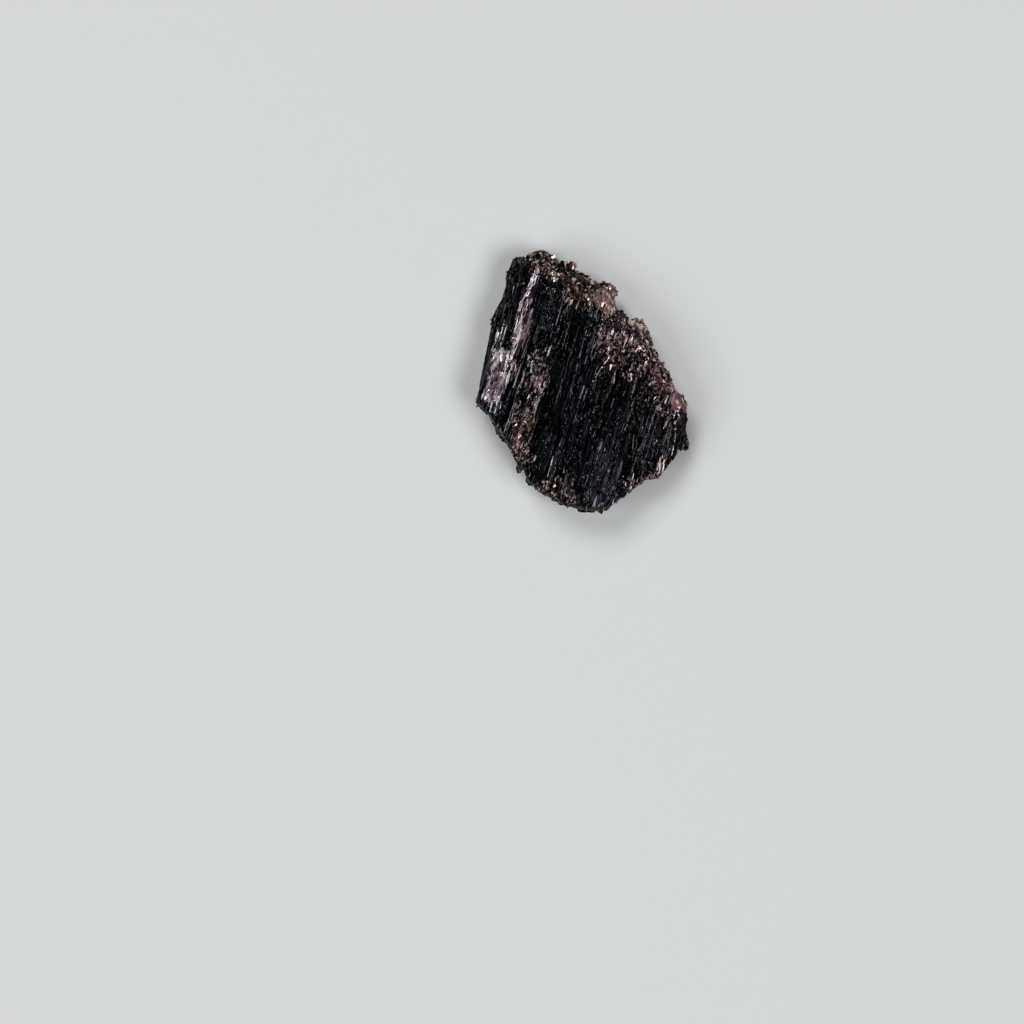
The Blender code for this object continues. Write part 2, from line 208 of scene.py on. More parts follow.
# Where the photograph shows mica or a coat on the crystals: the area's outline in pixels, its colours with
# the ground first, the half sizes of its pieces in millimetres, how far they tilt from the surface in
# degrees, how many deep they lie, and the share of them that are laths along the grain.
MICA_AREAS = {
    "flank": Area(
        [(601, 322), (614, 309), (632, 312), (650, 325), (662, 350), (676, 366), (690, 384), (672, 392),
         (655, 392), (640, 378), (626, 366), (610, 352), (600, 338)],
        (DARK_BROWN, BLACK, BLACK, DARK_BROWN, BROWN, ROSE, PINK, PINK, PALE_PINK, PALE_PINK, PALE_PINK,
         WHITE),
        (0.08, 0.34), 26.0, 1.8, 0.85,
    ),
    "flank_low": Area(
        [(644, 352), (660, 350), (676, 368), (690, 386), (672, 396), (655, 392), (642, 376)],
        (BLACK, BLACK, BLACK, BLACK, DARK_BROWN, WINE, WINE, WINE, ROSE, ROSE),
        (0.09, 0.40), 24.0, 1.5, 0.85,
    ),
    "flank_foot": Area(
        [(596, 334), (606, 338), (640, 384), (668, 408), (664, 418), (640, 398), (612, 366), (598, 352)],
        (DARK_BROWN, PINK, ROSE, BLACK, BLACK, PALE_PINK, PINK), (0.10, 0.34), 30.0, 1.0, 0.8,
    ),
    "flank_facet": Area(
        [(668, 378), (692, 386), (692, 414), (680, 412), (671, 404)],
        (ROSE, ROSE, ROSE, ROSE, ROSE, ROSE, PINK), (0.20, 0.75), 7.0, 1.4, 0.5,
    ),
    "flank_crest": Area(
        [(630, 316), (648, 322), (660, 346), (654, 352), (642, 336), (630, 334)],
        (BROWN, CREAM, PALE_PINK, PINK, ROSE, CREAM, WHITE, BROWN), (0.25, 0.80), 20.0, 1.5, 0.4,
    ),
    "dark_crust": Area(
        [(530, 256), (545, 246), (562, 248), (582, 266), (590, 280), (574, 286), (556, 276), (533, 276)],
        (DARK_BROWN, DARK_BROWN, BLACK, BROWN, BLACK, BLACK, DARK_BROWN, ROSE, CREAM),
        (0.14, 0.50), 30.0, 1.5, 0.3,
    ),
    "pale_crust": Area(
        [(530, 257), (545, 262), (560, 270), (556, 280), (536, 277), (529, 268)],
        (DARK_BROWN, BROWN, WHITE, BROWN, PALE_PINK, DARK_BROWN, BLACK, BLACK, CREAM),
        (0.14, 0.46), 30.0, 1.3, 0.3,
    ),
    "gold_crust": Area(
        [(564, 284), (585, 274), (606, 281), (603, 294), (590, 304), (568, 306)],
        (DARK_BROWN, BROWN, TAN, GOLD, TAN, DARK_BROWN, CREAM, BROWN, ROSE), (0.14, 0.55), 28.0, 1.4, 0.45,
    ),
    "pale_plate": Area(
        [(594, 292), (612, 284), (619, 298), (616, 312), (603, 312), (594, 304)],
        (WARM, TAN, WARM, WARM, ROSE, PALE_PINK, PINK), (0.14, 0.60), 10.0, 1.5, 0.7,
    ),
    "lilac_face": Area(
        [(491, 352), (506, 350), (508, 362), (506, 380), (503, 394), (499, 404), (489, 404), (484, 394),
         (488, 372)],
        (MAUVE, DARK_BROWN, MAUVE, LILAC, LILAC, LILAC, PALE_LILAC, PALE_LILAC, PALE_LILAC, WHITE),
        (0.12, 0.45), 8.0, 1.3, 0.5,
    ),
    "lilac_top": Area(
        [(493, 350), (507, 349), (507, 361), (493, 362)],
        (LILAC, WHITE, PALE_PINK, WHITE, BROWN, LILAC), (0.09, 0.34), 14.0, 1.1, 0.4,
    ),
    "lilac_step": Area(
        [(509, 359), (519, 360), (519, 370), (513, 378), (507, 376)],
        (MAUVE, LILAC, PALE_LILAC, LILAC, PALE_PINK), (0.14, 0.45), 7.0, 1.1, 0.4,
    ),
    "lilac_strip": Area(
        [(520, 298), (533, 300), (529, 330), (521, 356), (512, 354), (516, 322)],
        (MAUVE, LILAC, PINK, LILAC, BROWN, DARK_BROWN, PALE_PINK, PALE_LILAC), (0.09, 0.30), 9.0, 1.6, 0.95,
    ),
    "mixed_band": Area(
        [(530, 352), (548, 348), (550, 372), (540, 400), (534, 440), (526, 462), (512, 452), (512, 414)],
        (DARK_BROWN, BLACK, BLACK, DARK_BROWN, BROWN, ROSE, LILAC, PINK, PALE_PINK, PALE_LILAC, WHITE,
         WHITE),
        (0.10, 0.34), 16.0, 1.5, 0.9,
    ),
    "gold_foot": Area(
        [(514, 418), (532, 416), (533, 448), (524, 466), (510, 452)],
        (DARK_BROWN, GOLD, BROWN, DARK_BROWN, BLACK, BLACK, ROSE, PINK, CREAM), (0.11, 0.40), 30.0, 1.4, 0.5,
    ),
    "bottom_edge": Area(
        [(538, 484), (552, 474), (576, 490), (574, 506), (556, 504), (540, 496)],
        (DARK_BROWN, BROWN, CREAM, LILAC, BLACK, BLACK, BLACK), (0.08, 0.34), 36.0, 0.9, 0.5,
    ),
    "right_edge": Area(
        [(666, 411), (684, 412), (680, 428), (672, 430)],
        (DARK_BROWN, WHITE, PINK, ROSE, BROWN, BLACK, BLACK, BLACK), (0.13, 0.45), 22.0, 1.1, 0.7,
    ),
    "right_foot": Area(
        [(652, 458), (664, 458), (664, 476), (640, 486), (626, 492), (628, 478), (644, 474)],
        (DARK_BROWN, LILAC, CREAM, PINK, BLACK, BLACK, BLACK), (0.09, 0.40), 30.0, 0.9, 0.5,
    ),
}

# Where the black crystals get a painted blue-grey sheen in their colour.
PAINTED_SHEEN_AREAS = [
    [(590, 446), (612, 450), (619, 480), (618, 506), (592, 512), (584, 490)],
    [(643, 428), (656, 428), (655, 443), (645, 443)],
    [(543, 306), (556, 306), (556, 326), (544, 328)],
]

# Where the black crystals are smooth, lie level and stay dark.
CALM_AREAS = [
    [(528, 300), (537, 302), (522, 380), (508, 428), (499, 424), (512, 360)],
    [(536, 400), (562, 404), (556, 470), (534, 470)],
    [(512, 256), (528, 262), (514, 310), (498, 350), (488, 352), (500, 300)],
    [(640, 398), (664, 420), (640, 424), (622, 400)],
    [(556, 314), (592, 318), (590, 348), (552, 344)],
    [(484, 350), (491, 352), (486, 376), (481, 400), (476, 402)],
]
HOLE = (500.4, 366.4)  # the dark pit in the lilac face
HOLE_RADIUS = 2.5  # in pixels
HOLE_DEPTH = 0.6  # in millimetres
GROOVE = [(529, 304), (536, 306), (520, 380), (508, 422), (502, 420), (514, 360)]
GROOVE_DEPTH = 0.9  # in millimetres

# Where the black crystals are broken into grains, rather than long and smooth.
GRAINY_AREAS = [
    [(536, 282), (600, 292), (606, 330), (598, 352), (560, 350), (536, 330)],
    [(590, 380), (640, 372), (690, 430), (680, 460), (630, 500), (600, 500), (586, 440)],
    [(560, 405), (590, 400), (588, 480), (556, 476)],
    [(530, 340), (560, 340), (566, 400), (540, 410)],
]


def in_areas(pixels, outlines, ragged, edge=2.0):
    """How far each pixel lies inside any of these areas, 0 to 1, with a ragged edge."""
    share = np.zeros(len(pixels))
    for outline in outlines:
        share = np.maximum(share, ease(inside(pixels, outline) + ragged, -edge, edge))
    return share


def raggedness(points):
    return 6.0 * (rough_noise(points / (2.0 * MM), SEED + 40) - 0.5)


def in_hole(pixels):
    """1 in the pit and 0 outside it."""
    away = np.linalg.norm(pixels - np.array(HOLE), axis=1)
    return 1.0 - ease(away, 0.8 * HOLE_RADIUS, 1.2 * HOLE_RADIUS)


FAR_SIDE = np.array([0.62, 0.78, 0.0])  # the way that the flank with the mica faces
FAR_FLANK = (14.0 * MM, 17.0 * MM)  # how far out that way its mica starts, and is full
FAR_TOP = (8.0 * MM, 10.0 * MM)  # how high up it the hidden mica is full, and where it ends
FAR_COVER = 0.85  # how much of it is mica
FOOT_TOP = (3.0 * MM, 5.0 * MM)  # the same heights for the patches on the other flanks
MICA_PATCH = np.array([4.0, 12.0, 4.0])  # the size of a patch, in millimetres


def hidden_mica(points):
    """Mica on the sides that the photograph doesn't show: all along the far flank, and in patches."""
    grain = points @ GRAIN / MM
    far = FAR_COVER * ease(points @ FAR_SIDE, *FAR_FLANK) * (1.0 - ease(points[:, 2], *FAR_TOP))
    patches = ease(rough_noise(grain / MICA_PATCH, SEED + 50), 0.62, 0.68)
    return np.maximum(far, patches * (1.0 - ease(points[:, 2], *FOOT_TOP)))


def mica_share(points, facing):
    """How much of the surface is mica, 0 to 1."""
    outlines = [area.outline for area in MICA_AREAS.values()]
    seen = in_areas(to_pixels(points), outlines, raggedness(points))
    upward = seen_from_above(facing)
    return upward * seen + (1.0 - upward) * hidden_mica(points)


CLUMP = np.array([0.85, 2.4, 0.85])  # the size of a clump of mica, in millimetres


def clumps(points):
    """A number from 0 to 1 for each place, the same across a clump of mica."""
    grain = points @ GRAIN / MM
    bend = np.stack([smooth_noise(grain / 0.6, SEED + 64 + k) for k in range(3)], axis=1)
    return cell_noise(grain / CLUMP + 0.7 * bend, SEED + 60)[1]


def crevices(points):
    """1 in the low places between clumps of mica and 0 on the clumps; the ground colour is darkened there as
    painted shade.
    """
    return 1.0 - ease(clumps(points), 0.27, 0.36)


LIVELY_PATCH = np.array([2.2, 7.0, 2.2])  # the size of a patch that glitters or doesn't, in millimetres


def liveliness(points):
    """How much the black crystals glitter, from 0 to 1, in wide patches along the grain."""
    grain = points @ GRAIN / MM
    lively = ease(rough_noise(grain / LIVELY_PATCH, SEED + 75), 0.38, 0.62)
    calm = in_areas(to_pixels(points), CALM_AREAS, raggedness(points), 4.0)
    return (0.15 + 0.85 * lively) * (1.0 - 0.85 * calm)


# The stone's own surface

def remeshed(source):
    """The frame's solid as an even mesh of small squares, fine enough to carve."""
    mesh = source.data.copy()
    piece = bpy.data.objects.new("stone", mesh)
    bpy.context.scene.collection.objects.link(piece)
    remesh = piece.modifiers.new("even", "REMESH")
    remesh.mode = "VOXEL"
    remesh.voxel_size = VOXEL
    return baked(piece)


def baked(piece):
    """Puts the result of the piece's modifiers into its mesh."""
    bpy.context.view_layer.update()
    graph = bpy.context.evaluated_depsgraph_get()
    mesh = bpy.data.meshes.new_from_object(piece.evaluated_get(graph))
    piece.modifiers.clear()
    piece.data = mesh
    return piece


def places(mesh):
    points = np.empty(len(mesh.vertices) * 3)
    mesh.vertices.foreach_get("co", points)
    return points.reshape(-1, 3)


def store(mesh, name, kind, values):
    """Keeps a value for each vertex, which the materials read by its name."""
    key = "value" if kind == "FLOAT" else "color"
    mesh.attributes.new(name, kind, "POINT").data.foreach_set(key, values.astype(np.float32).ravel())


def normals(mesh):
    found = np.empty(len(mesh.vertices) * 3)
    mesh.vertex_normals.foreach_get("vector", found)
    return found.reshape(-1, 3)


def set_places(mesh, points):
    """Moves the mesh's vertices to these points, or onto the floor where they are below it."""
    points[:, 2] = np.maximum(points[:, 2], 0.0)
    mesh.vertices.foreach_set("co", points.ravel())
    mesh.update()


Facets = namedtuple("Facets", "size seed step tilt groove")

# Layers of flat crystal faces: the size of a face across the grain, along it and upwards in millimetres, a
# seed, how far their levels differ, how much they tilt, and how deep the grooves between them are.
LONG_FACES = Facets((1.9, 30.0, 1.9), SEED + 1, 0.30, 0.55, 0.08)
NARROW_FACES = Facets((0.80, 20.0, 0.80), SEED + 11, 0.14, 0.40, 0.07)
STRIATIONS = Facets((0.42, 14.0, 0.42), SEED + 21, 0.05, 0.10, 0.04)
GRAIN_FACES = Facets((0.75, 1.5, 0.75), SEED + 31, 0.22, 0.45, 0.10)
CHIPS = Facets((0.9, 0.7, 1.0), SEED + 41, 0.30, 0.50, 0.10)
DRIFT = 0.5  # how far the long faces wander across the grain, in millimetres
DRIFT_SIZE = np.array([3.0, 12.0, 3.0])  # the size of one bend in them
BROKEN_RELIEF = 0.6  # how lumpy the broken ends are
CLUMP_RELIEF = 0.9  # how far the levels of clumps of mica differ
SMOOTHING = 0.7  # how much of the crystal faces smooth mica hides


def facets(grain, layer):
    """Heights of flat faces at levels of their own, which tilt each way and have grooves between them."""
    edge, number, away = cell_noise(grain / np.array(layer.size), layer.seed)
    lean = hashed(np.stack([number * 7919.0, number * 104729.0, number * 1299709.0], axis=1), layer.seed)
    slope = layer.tilt * (2.0 * lean - 1.0) * (away[:, 0] + away[:, 2])
    groove = layer.groove * (1.0 - ease(edge, 0.0, 0.16))
    return layer.step * (number - 0.5) + slope * layer.step - groove


def crystal_relief(points, facing):
    """Heights of the crystal faces in millimetres, and of the broken ends where the surface faces endwise."""
    pixels, ragged = to_pixels(points), raggedness(points)
    grain = points @ GRAIN / MM
    drifting = grain + DRIFT * (smooth_noise(grain / DRIFT_SIZE, SEED) - 0.5)[:, None]
    long_faces = facets(drifting, LONG_FACES) + facets(drifting, NARROW_FACES)
    grainy = in_areas(pixels, GRAINY_AREAS, ragged, 5.0)
    smooth = smooth_mica(pixels, ragged)
    along = (1.0 - SMOOTHING * smooth) * long_faces + facets(drifting, STRIATIONS)
    along += grainy * facets(grain, GRAIN_FACES)
    broken = facets(grain, CHIPS) + BROKEN_RELIEF * (rough_noise(grain / 1.8, SEED + 51) - 0.5)
    endwise = ease(np.abs(facing @ ALONG), 0.50, 0.85)
    return (1.0 - endwise) * along + endwise * broken


def smooth_mica(pixels, ragged):
    """Where the mica lies smooth, 0 to 1."""
    outlines = [area.outline for area in MICA_AREAS.values() if area.tilt < SMOOTH_TILT]
    return in_areas(pixels, outlines, ragged)


def carve(piece):
    """Cuts crystals, broken ends, crusts of mica, the groove and the pit into the surface."""
    points = places(piece.data)
    facing = normals(piece.data)
    pixels, ragged = to_pixels(points), raggedness(points)
    upward = seen_from_above(facing)
    crystal = crystal_relief(points, facing) - SKIN_DEPTH
    crystal -= GROOVE_DEPTH * upward * in_areas(pixels, [GROOVE], 0.3 * ragged)
    lumps = CRUST_RELIEF * (rough_noise(points @ GRAIN / MM / 0.8, SEED + 67) - 0.5)
    crust = CLUMP_RELIEF * (clumps(points) - 0.45) + lumps
    mica = mica_share(points, facing) * (1.0 - smooth_mica(pixels, ragged))
    depth = crystal + mica * (crust - 0.5 * crystal) - HOLE_DEPTH * upward * in_hole(pixels)
    set_places(piece.data, points + facing * depth[:, None] * MM)


def thinned(piece):
    """The piece with fewer triangles where it is flat."""
    thin = piece.modifiers.new("thin", "DECIMATE")
    triangles = sum(len(face.vertices) - 2 for face in piece.data.polygons)
    thin.ratio = min(1.0, SKIN_TRIANGLES / triangles)
    thin.use_collapse_triangulate = True
    piece = baked(piece)
    set_places(piece.data, places(piece.data))
    return piece


def ground_tints(points, facing):
    """The colour of the surface itself under the mica, with painted shade in the crevices between clumps and
    in the pit.
    """
    pixels, ragged = to_pixels(points), raggedness(points)
    upward = seen_from_above(facing)[:, None]
    # Painted shade: the ground colour falls to a tenth in the crevices, except under smooth mica.
    crevice = 1.0 - 0.9 * crevices(points)[:, None]
    tints = np.array(BROWN) * crevice
    for area in MICA_AREAS.values():
        share = ease(inside(pixels, area.outline) + ragged, -1.5, 2.0)[:, None]
        shade = 1.0 if area.tilt < SMOOTH_TILT else crevice  # smooth mica has no crevices
        tints = np.where(share * upward > 0.3, np.array(area.colours[0]) * shade, tints)
    # Painted shade: the colour in the pit is darkened almost to black.
    return tints * (1.0 - 0.95 * in_hole(pixels)[:, None])


def stone_skin():
    piece = remeshed(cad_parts["tourmaline"])
    carve(piece)
    piece = thinned(piece)
    mesh = piece.data
    points = places(mesh)
    facing = normals(mesh)
    colours = np.ones((len(points), 4))
    colours[:, :3] = ground_tints(points, facing)
    store(mesh, "mica", "FLOAT", mica_share(points, facing))
    store(mesh, "tint", "FLOAT_COLOR", colours)
    mesh.materials.clear()
    mesh.materials.append(stone_material())
    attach(piece, "root")
    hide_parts("tourmaline")
    return piece


# Loose forms: shards of crystal and flakes of mica, each a closed solid sunk into the surface

TRIMS = 4  # how often a crystal is halved until it fits


class Surface:
    """The carved stone as triangles to scatter things on, and the uncarved stone to set them against."""

    def __init__(self, piece):
        mesh = piece.data
        mesh.calc_loop_triangles()
        corners = np.empty(len(mesh.loop_triangles) * 3, np.int32)
        mesh.loop_triangles.foreach_get("vertices", corners)
        self.triangles = places(mesh)[corners.reshape(-1, 3)]
        first, second, third = (self.triangles[:, k] for k in range(3))
        upright = np.cross(second - first, third - first)
        size = np.linalg.norm(upright, axis=1)
        self.areas = size / 2.0
        self.facing = upright / np.maximum(size, 1e-18)[:, None]
        self.middles = self.triangles.mean(axis=1)
        self.pixels = to_pixels(self.middles)
        self.ragged = raggedness(self.middles)
        self.mica = mica_share(self.middles, self.facing)
        self.lively = liveliness(self.middles)
        self.crevice = crevices(self.middles)
        self.grainy = in_areas(self.pixels, GRAINY_AREAS, self.ragged, 5.0)
        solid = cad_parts["tourmaline"].data
        faces = [tuple(face.vertices) for face in solid.polygons]
        self.solid = BVHTree.FromPolygons(places(solid).tolist(), faces)

    def scatter(self, random, count, weights):
        """That many random places on the triangles."""
        odds = self.areas * weights
        chosen = random.choice(len(odds), count, p=odds / odds.sum())
        a, b = random.random((2, count))
        over = a + b > 1.0
        a, b = np.where(over, 1.0 - a, a), np.where(over, 1.0 - b, b)
        first, second, third = (self.triangles[chosen, k] for k in range(3))
        return first + a[:, None] * (second - first) + b[:, None] * (third - first)

    def crystal_faces(self, points):
        """Which way the uncarved crystal faces point, at these places."""
        return np.array([self.solid.find_nearest(Vector(point))[1] for point in points])

    def within(self, points):
        """Whether each point is inside the uncarved stone."""
        upwards = Vector((0.05, 0.03, 1.0)).normalized()  # off the vertical, to miss edges that stand upright
        found = np.zeros(len(points), bool)
        for k, point in enumerate(points):
            facing = self.solid.ray_cast(Vector(point), upwards)[1]
            found[k] = facing is not None and facing.dot(upwards) > 0.0
        return found

    def trimmed(self, middles, lengthways, half_length):
        """Half lengths cut down where a crystal would leave the stone, at its ends or halfway to them, and 0
        where none fits."""
        for _ in range(TRIMS):
            ends = lengthways * half_length[:, None]
            fits = self.within(middles - ends) & self.within(middles + ends)
            fits &= self.within(middles - 0.5 * ends) & self.within(middles + 0.5 * ends)
            half_length = np.where(fits, half_length, 0.5 * half_length)
        return np.where(fits, half_length, 0.0)

    def under_pixel(self, x, y):
        """The place on the crystal faces under a pixel of the photograph."""
        ground = np.array([(x - PHOTO_MIDDLE) * PIXEL, (PHOTO_MIDDLE - y) * PIXEL, 0.0])
        aim = ground - np.array([0.0, 0.0, CAMERA_HEIGHT - SCALE_HEIGHT])
        hit = self.solid.ray_cast(Vector(CAMERA), Vector(aim).normalized())[0]
        return np.array(hit) if hit else None


def unit(vectors):
    return vectors / np.maximum(np.linalg.norm(vectors, axis=1), 1e-12)[:, None]


def turned(vectors, axes, angles):
    """Vectors turned about unit axes at right angles to them."""
    return vectors * np.cos(angles)[:, None] + np.cross(axes, vectors) * np.sin(angles)[:, None]


def joined_forms(name, corners, faces, tints, gloss, material):
    """One mesh of many copies of a form. corners is (copies, corners, 3), and faces lists a copy's faces."""
    corners = above_floor(corners)
    kept = fitting(corners)
    corners, tints, gloss = corners[kept], tints[kept], gloss[kept]
    copies, count, _ = corners.shape
    every = [[k * count + c for c in face] for k in range(copies) for face in faces]
    mesh = bpy.data.meshes.new(name)
    mesh.from_pydata(corners.reshape(-1, 3).tolist(), [], every)
    colours = np.ones((copies, count, 4))
    colours[..., :3] = np.minimum(tints, 1.0)[:, None, :]
    store(mesh, "tint", "FLOAT_COLOR", colours)
    store(mesh, "gloss", "FLOAT", np.repeat(gloss, count))
    mesh.materials.append(material)
    piece = bpy.data.objects.new(name, mesh)
    bpy.context.scene.collection.objects.link(piece)
    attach(piece, "root")


SHORTEST_FORM = 0.1 * MM
BLOCK_FACES = [(0, 1, 3, 2), (4, 6, 7, 5), (0, 4, 5, 1), (2, 3, 7, 6), (0, 2, 6, 4), (1, 5, 7, 3)]


def blocks(random, middles, lengthways, upwards, half_length, half_width, half_height, point):
    """Six-sided solids with uneven corners. point narrows their ends, 0 for a needle and 1 for a box."""
    sideways = np.cross(lengthways, upwards)
    corners = []
    for end in (-1.0, 1.0):
        narrow = random.uniform(point, 1.0, len(middles))
        for side in (-1.0, 1.0):
            for top in (-1.0, 1.0):
                uneven = random.uniform(0.7, 1.0, (3, len(middles)))
                corners.append(
                    middles
                    + lengthways * (end * half_length * uneven[0])[:, None]
                    + sideways * (side * half_width * narrow * uneven[1])[:, None]
                    + upwards * (top * half_height * narrow * uneven[2])[:, None]
                )
    return np.stack(corners, axis=1)


def above_floor(corners):
    """Forms that keep off the floor, with the lowest ones lifted onto it."""
    lift = np.maximum(0.0, -corners[..., 2].min(axis=1))
    corners[..., 2] += lift[:, None]
    return corners


def fitting(corners):
    """Which forms have a length and stay close to the box of the uncarved stone."""
    low, high = np.array(CAD_BOX[0]) - STAND_PROUD, np.array(CAD_BOX[1]) + STAND_PROUD
    close = ((corners > low) & (corners < high)).all(axis=(1, 2))
    return close & (np.linalg.norm(corners[:, 0] - corners[:, -1], axis=1) > SHORTEST_FORM)


def mostly_small(random, sizes, count):
    """Sizes in metres between two in millimetres, most of them near the smaller one."""
    least, most = sizes
    return (least + (most - least) * random.random(count) ** 2) * MM


Crystals = namedtuple("Crystals", "count half_length half_width lean pitch turn")

# Kinds of crystal set in the surface: how many, their half lengths and half widths in millimetres, and how
# far each leans about the grain, tips end to end and turns from the grain, in degrees.
FLAT_CRYSTALS = Crystals(5200, (0.8, 4.5), (0.10, 0.36), 4.0, 0.3, 0.4)
RIDGES = Crystals(9000, (0.4, 2.4), (0.035, 0.11), 8.0, 0.8, 1.2)
LINES = Crystals(2600, (2.0, 7.0), (0.035, 0.08), 5.0, 0.1, 0.2)
GRAINS = Crystals(9500, (0.14, 0.60), (0.05, 0.18), 14.0, 6.0, 5.0)
CRYSTAL_HALF_HEIGHT = (0.06 * MM, 0.20 * MM)
CRYSTAL_LEVEL = (-0.05, 0.09)  # how far their tops stand above the crystal faces, in millimetres
BROKEN_ENDS = 11000
STUB_HALF_LENGTH = (0.12, 0.42)
STUB_HALF_WIDTH = (0.05, 0.25)
STUB_LEVEL = (-0.08, 0.11)
BUNDLE_LEAN = math.radians(15.0)
BUNDLE = np.array([1.1, 9.0, 1.1])  # the size of a bundle of crystals that lean alike, in millimetres


def bundle_lean(points):
    """How far the crystals at these places lean together about the grain."""
    number = cell_noise(points @ GRAIN / MM / BUNDLE, SEED + 70)[1]
    return BUNDLE_LEAN * (2.0 * number - 1.0) * (0.3 + 0.7 * liveliness(points))


SHEENED_SHARE = 0.22  # the share of the black crystals elsewhere that get a little painted sheen
SHEEN_STRENGTH = 0.5  # how strong their painted sheen is against that in the sheen areas
COATED_SHARE = 0.02  # the share that has a lilac coat
COAT = (0.05, 0.35)  # how bright it is against LILAC


def crystal_tints(middles, random):
    count = len(middles)
    shade = random.random((count, 1))
    tints = np.array(BLACK) + (np.array(BLUE_BLACK) - np.array(BLACK)) * shade
    # Painted sheen: blue-grey in the sheen areas, and weaker on a share of the crystals elsewhere.
    sheen_area = in_areas(to_pixels(middles), PAINTED_SHEEN_AREAS, raggedness(middles), 5.0)[:, None]
    sheened = SHEEN_STRENGTH * (random.random((count, 1)) < SHEENED_SHARE)
    haze = np.maximum(sheen_area, sheened) * random.random((count, 1)) ** 3
    tints = tints + (np.array(PAINTED_SHEEN_BLUE) - tints) * haze
    coated = random.random(count) < COATED_SHARE
    tints[coated] = np.array(LILAC) * random.uniform(*COAT, (coated.sum(), 1))
    return tints


def crystals(name, surface, random, kind, weights, material):
    """Black crystals of one kind, set into the crystal faces along the grain and bundled with a lean."""
    count = kind.count
    middles = surface.scatter(random, count, weights)
    outwards = surface.crystal_faces(middles)
    tangent = unit(ALONG - outwards * (outwards @ ALONG)[:, None])
    spread = random.standard_normal((3, count))
    lengthways = turned(tangent, outwards, math.radians(kind.turn) * spread[0])
    sideways = np.cross(lengthways, outwards)
    pitch = math.radians(kind.pitch) * spread[1]
    lengthways, upwards = turned(lengthways, sideways, pitch), turned(outwards, sideways, pitch)
    upwards = turned(upwards, lengthways, bundle_lean(middles) + math.radians(kind.lean) * spread[2])

    half_width = mostly_small(random, kind.half_width, count)
    half_height = np.clip(half_width * random.uniform(0.7, 1.2, count), *CRYSTAL_HALF_HEIGHT)
    level = random.uniform(*CRYSTAL_LEVEL, count) * MM - half_height
    sunk = middles + outwards * level[:, None]
    half_length = surface.trimmed(sunk, lengthways, random.uniform(*kind.half_length, count) * MM)
    corners = blocks(random, sunk, lengthways, upwards, half_length, half_width, half_height, 0.6)
    tints = crystal_tints(middles, random)
    joined_forms(name, corners, BLOCK_FACES, tints, random.random(count), material)


def broken_ends(surface, random, weights, material):
    """Stubs along the grain where crystals broke off."""
    count = BROKEN_ENDS
    middles = surface.scatter(random, count, weights)
    outwards = surface.crystal_faces(middles)
    upwards = unit(np.cross(np.tile(ALONG, (count, 1)), random.standard_normal((count, 3))))
    lengthways = turned(np.tile(ALONG, (count, 1)), upwards, 0.06 * random.standard_normal(count))
    half_length = random.uniform(*STUB_HALF_LENGTH, count) * MM
    half_width = mostly_small(random, STUB_HALF_WIDTH, count)
    level = random.uniform(*STUB_LEVEL, count) * MM - half_length
    sunk = middles + outwards * level[:, None]
    half_height = half_width * random.uniform(0.6, 1.0, count)
    corners = blocks(random, sunk, lengthways, upwards, half_length, half_width, half_height, 0.7)
    tints = crystal_tints(middles, random)
    joined_forms("broken_ends", corners, BLOCK_FACES, tints, random.random(count), material)


FLAKE_SIDES = 5
NEXT_CORNER = [(k + 1) % FLAKE_SIDES for k in range(FLAKE_SIDES)]
FLAKE_FACES = (
    [tuple(range(FLAKE_SIDES))[::-1], tuple(range(FLAKE_SIDES, 2 * FLAKE_SIDES))]
    + [(k, after, after + FLAKE_SIDES, k + FLAKE_SIDES) for k, after in enumerate(NEXT_CORNER)]
)
LEAF_STRETCH = 1.35  # how much longer a leaf is along the grain
LEAF_HALF_THICKNESS = (0.03, 0.06)
LEAF_LEVELS = (-0.03, 0.09)  # of the lower and the upper leaf of a book, in millimetres
WIDE_LEAF = 0.26 * MM  # leaves wider than this come in twos
LATH_HALF_HEIGHT = (0.05, 0.10)
LATH_LENGTH = (1.2, 4.0)  # against the lath's size
PIECE_SHADES = (0.75, 1.2)  # how bright a leaf or lath is against its tint
TINT_SPREAD = 0.16  # how far the pieces of a clump stray from its shade, as a share of all the shades


def flakes(random, middles, upwards, radius, half_thickness):
    """Uneven leaves with five sides, longer along the grain."""
    first = unit(ALONG - upwards * (upwards @ ALONG)[:, None])
    second = np.cross(upwards, first)
    start = random.uniform(0.0, math.tau, len(middles))
    corners = []
    shapes = random.uniform(0.55, 1.15, (FLAKE_SIDES, len(middles)))
    sways = random.uniform(-0.35, 0.35, (FLAKE_SIDES, len(middles)))
    for level in (-1.0, 1.0):
        for k in range(FLAKE_SIDES):
            turn = start + math.tau * k / FLAKE_SIDES + sways[k]
            out = first * (LEAF_STRETCH * np.cos(turn))[:, None]
            out += second * (np.sin(turn) / LEAF_STRETCH)[:, None]
            reach = (radius * shapes[k])[:, None]
            corners.append(middles + out * reach + upwards * (level * half_thickness)[:, None])
    return np.stack(corners, axis=1)


def books(random, middles, facing, tilt, radius, tints):
    """Leaves of mica, the wide ones in stacks of two that are a little out of line: corners and tints."""
    guide = unit(np.cross(facing, random.standard_normal((len(middles), 3))))
    angles = np.radians(tilt) * np.clip(random.standard_normal(len(middles)), -1.8, 1.8)
    upwards = turned(facing, guide, angles)
    wide = radius > WIDE_LEAF
    corners, colours = [], []
    for level, kept in zip(LEAF_LEVELS, (np.ones(len(middles), bool), wide)):
        count = kept.sum()
        half_thickness = random.uniform(*LEAF_HALF_THICKNESS, count) * MM
        slip = random.uniform(-0.4, 0.4, (count, 3)) * radius[kept, None]
        slip -= upwards[kept] * (slip * upwards[kept]).sum(axis=1)[:, None]
        spots = middles[kept] + upwards[kept] * level * MM + slip
        size = radius[kept] * random.uniform(0.7, 1.0, count)
        corners.append(flakes(random, spots, upwards[kept], size, half_thickness))
        colours.append(tints[kept] * random.uniform(*PIECE_SHADES, (count, 1)))
    return np.concatenate(corners), np.concatenate(colours)


